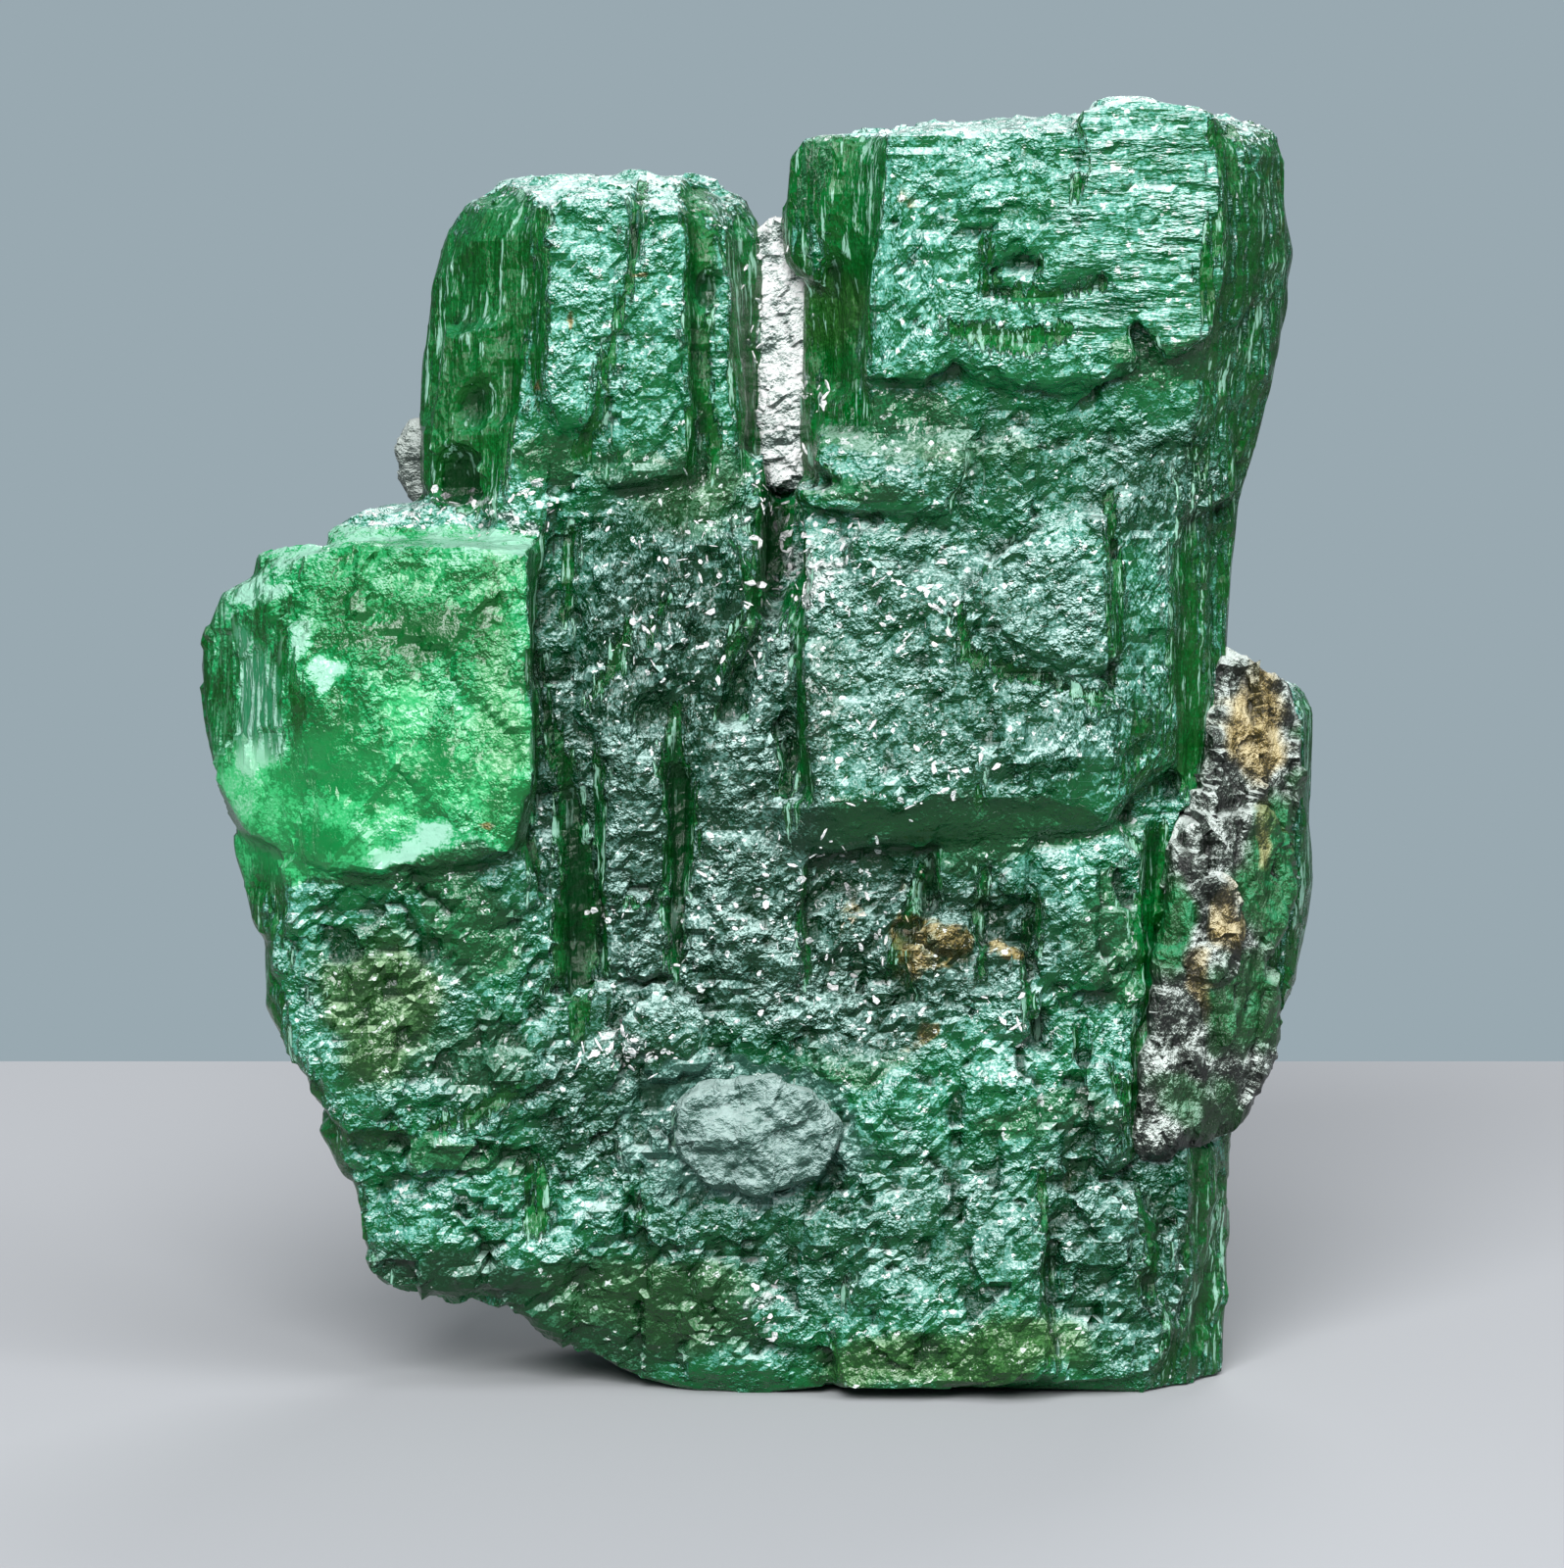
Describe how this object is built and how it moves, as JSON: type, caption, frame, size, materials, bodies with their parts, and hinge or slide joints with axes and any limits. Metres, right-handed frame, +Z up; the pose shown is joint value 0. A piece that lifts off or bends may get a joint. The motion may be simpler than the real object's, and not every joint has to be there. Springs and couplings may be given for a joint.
{
  "type": "emerald crystal cluster",
  "caption": "Natural cluster of intergrown green beryl crystals with mica schist and quartz, standing upright on a flat broken base.",
  "frame": {"origin": "on the resting plane, under the middle of the cluster's bounding box", "axes": "+Z up, -Y towards the viewer of the show side, +X to the viewer's right; the crystals' long axes lean back 7 degrees from +Z towards +Y"},
  "size_m": [0.0172, 0.0088, 0.0199],
  "materials": {
    "emerald": "deep green, part glassy and part etched, dark where clear and grey-green where frosted",
    "schist": "grey glittering mica schist with rusty stains",
    "mica": "silvery white flakes with pearly gloss",
    "quartz": "cloudy, pale green-grey, broken surface"
  },
  "bodies": {
    "root": {"emerald_cluster": "emerald", "mica_schist": "schist", "mica_seam": "mica", "mica_patch": "mica", "quartz_grain": "quartz"}
  },
  "joints": []
}
